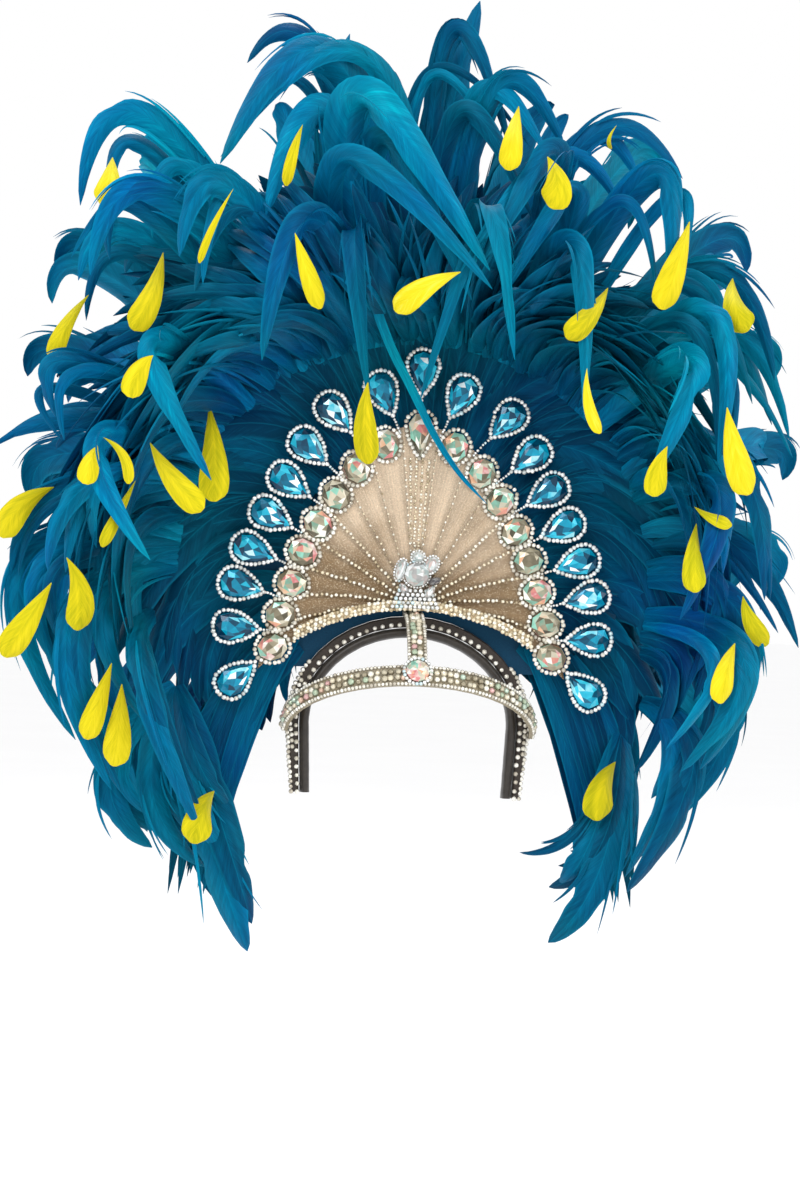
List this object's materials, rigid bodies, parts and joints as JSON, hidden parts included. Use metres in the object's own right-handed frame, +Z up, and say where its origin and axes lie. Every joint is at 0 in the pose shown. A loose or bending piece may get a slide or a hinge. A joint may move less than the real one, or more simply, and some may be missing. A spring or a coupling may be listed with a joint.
{
  "type": "showgirl feather headdress",
  "caption": "Feathered head hoop with a pleated fan edged in oval stones and pear drops, a jewelled forehead band and strap, and a wide upright plume.",
  "frame": {"origin": "the underside of the hoop's pad at its top middle, where it sits on the crown of the head", "axes": "+Z up, -Y the front that the stones face, +X to the viewer's right"},
  "size_m": [0.6143, 0.339, 0.7031],
  "materials": {
    "pad_satin": "satin padding",
    "rim_beads": "rows of set rhinestones",
    "band_pave": "pave of stones",
    "trim_pave": "rows of beads",
    "fan_fabric": "glitter fabric",
    "backing_felt": "felt",
    "aqua_stone": "cut stone in a beaded setting",
    "clear_stone": "iridescent cut stone in a beaded setting",
    "blue_feather": "cock feathers dyed blue, with small yellow tips",
    "blue_feather_back": "cock feathers dyed blue"
  },
  "bodies": {
    "root": {"hoop_pad": "pad_satin", "hoop_frame": "rim_beads", "forehead_band": "band_pave", "centre_strap": "band_pave", "forehead_stone": "clear_stone", "fan_plate": "fan_fabric", "fan_base_trim": "trim_pave", "centre_ornament": "clear_stone", "backing_panel": "backing_felt", "plume_front": "blue_feather", "plume_back": "blue_feather_back", "stone_inner_01": "clear_stone", "stone_inner_02": "clear_stone", "stone_inner_03": "clear_stone", "stone_inner_04": "clear_stone", "stone_inner_05": "clear_stone", "stone_inner_06": "clear_stone", "stone_inner_07": "clear_stone", "stone_inner_08": "clear_stone", "stone_inner_09": "clear_stone", "stone_inner_10": "clear_stone", "stone_inner_11": "clear_stone", "stone_inner_12": "clear_stone", "stone_inner_13": "clear_stone", "stone_inner_14": "clear_stone", "stone_inner_15": "clear_stone", "stone_inner_16": "clear_stone", "stone_inner_17": "clear_stone", "stone_drop_01": "aqua_stone", "stone_drop_02": "aqua_stone", "stone_drop_03": "aqua_stone", "stone_drop_04": "aqua_stone", "stone_drop_05": "aqua_stone", "stone_drop_06": "aqua_stone", "stone_drop_07": "aqua_stone", "stone_drop_08": "aqua_stone", "stone_drop_09": "aqua_stone", "stone_drop_10": "aqua_stone", "stone_drop_11": "aqua_stone", "stone_drop_12": "aqua_stone", "stone_drop_13": "aqua_stone", "stone_drop_14": "aqua_stone", "stone_drop_15": "aqua_stone", "stone_drop_16": "aqua_stone", "stone_drop_17": "aqua_stone", "stone_drop_18": "aqua_stone", "stone_drop_19": "aqua_stone"}
  },
  "joints": []
}
